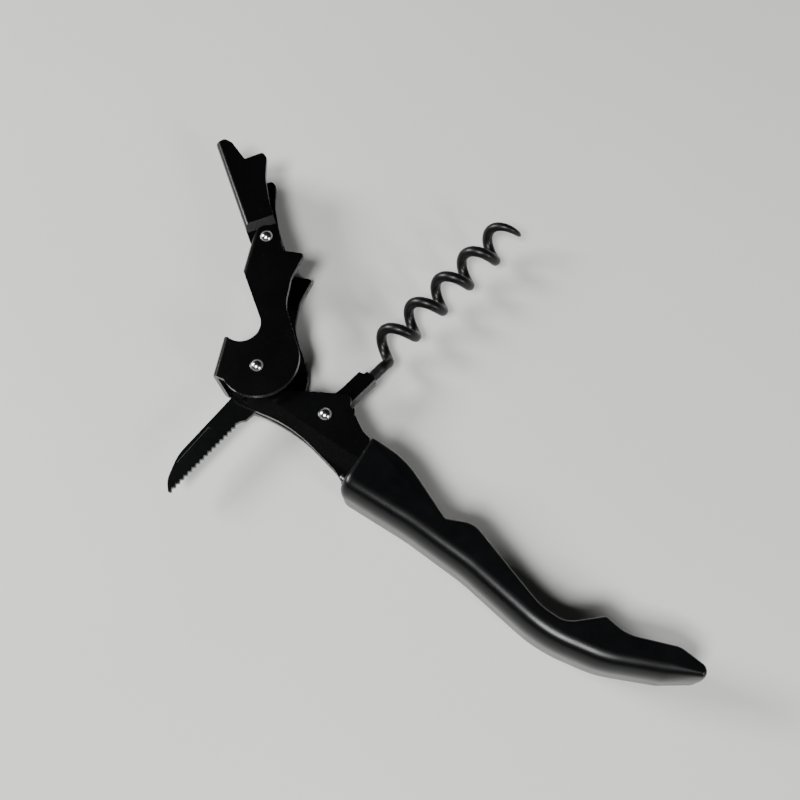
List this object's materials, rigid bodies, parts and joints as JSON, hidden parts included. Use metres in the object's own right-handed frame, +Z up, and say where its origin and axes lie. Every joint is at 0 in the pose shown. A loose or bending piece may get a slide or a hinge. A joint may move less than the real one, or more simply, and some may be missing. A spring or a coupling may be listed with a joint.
{
  "type": "lever corkscrew",
  "caption": "Folding two-step lever corkscrew lying on its side, with a helical worm, a serrated foil knife, a cap lifter and a moulded black grip.",
  "frame": {"origin": "middle of the footprint, on the flat side the part lies on", "axes": "+X along the handle to its tail, +Y to the open side that the worm stands out of, +Z up along the pivots"},
  "size_m": [0.1535, 0.0938, 0.0155],
  "materials": {
    "grip_plastic": "satin moulded black plastic",
    "black_steel": "satin black coated sheet steel",
    "worm_steel": "glossy black coated steel wire",
    "blade_steel": "black coated blade steel",
    "rivet_steel": "polished domed rivet heads",
    "dark_pin": "plain steel"
  },
  "bodies": {
    "handle": {"grip": "grip_plastic", "frame": "black_steel", "frame_pin": "rivet_steel", "lever_rivet": "rivet_steel", "worm_rivet": "rivet_steel", "knife_pin": "dark_pin", "lever_spacer": "dark_pin", "lever_washer_near": "dark_pin", "lever_washer_far": "dark_pin", "worm_washer_near": "dark_pin", "worm_washer_far": "dark_pin"},
    "lever": {"lower_link": "black_steel", "hinge_rivet": "rivet_steel"},
    "lever_end": {"upper_link": "black_steel"},
    "worm_arm": {"worm": "worm_steel", "yoke_half_near": "black_steel", "yoke_half_far": "black_steel"},
    "knife": {"knife_blade": "blade_steel"}
  },
  "joints": [
    {"name": "lever_fold", "type": "hinge", "parent": "handle", "child": "lever", "pos_m": [-0.03104, -0.0151, 0.00775], "axis": [0, 0, 1], "range_deg": [-121.5, 10]},
    {"name": "lever_end_fold", "type": "hinge", "parent": "lever", "child": "lever_end", "pos_m": [-0.04992, 0.01136, 0.00775], "axis": [0, 0, 1], "range_deg": [-30, 3]},
    {"name": "worm_fold", "type": "hinge", "parent": "handle", "child": "worm_arm", "pos_m": [-0.01285, -0.0151, 0.00775], "axis": [0, 0, 1], "range_deg": [-90.2, 7.6]},
    {"name": "knife_fold", "type": "hinge", "parent": "handle", "child": "knife", "pos_m": [-0.03015, -0.0218, 0.00775], "axis": [0, 0, 1], "range_deg": [-12, 95.5]}
  ],
  "couplings": [
    {"joint": "worm_fold", "follows": "lever_fold", "ratio": 0.74}
  ]
}
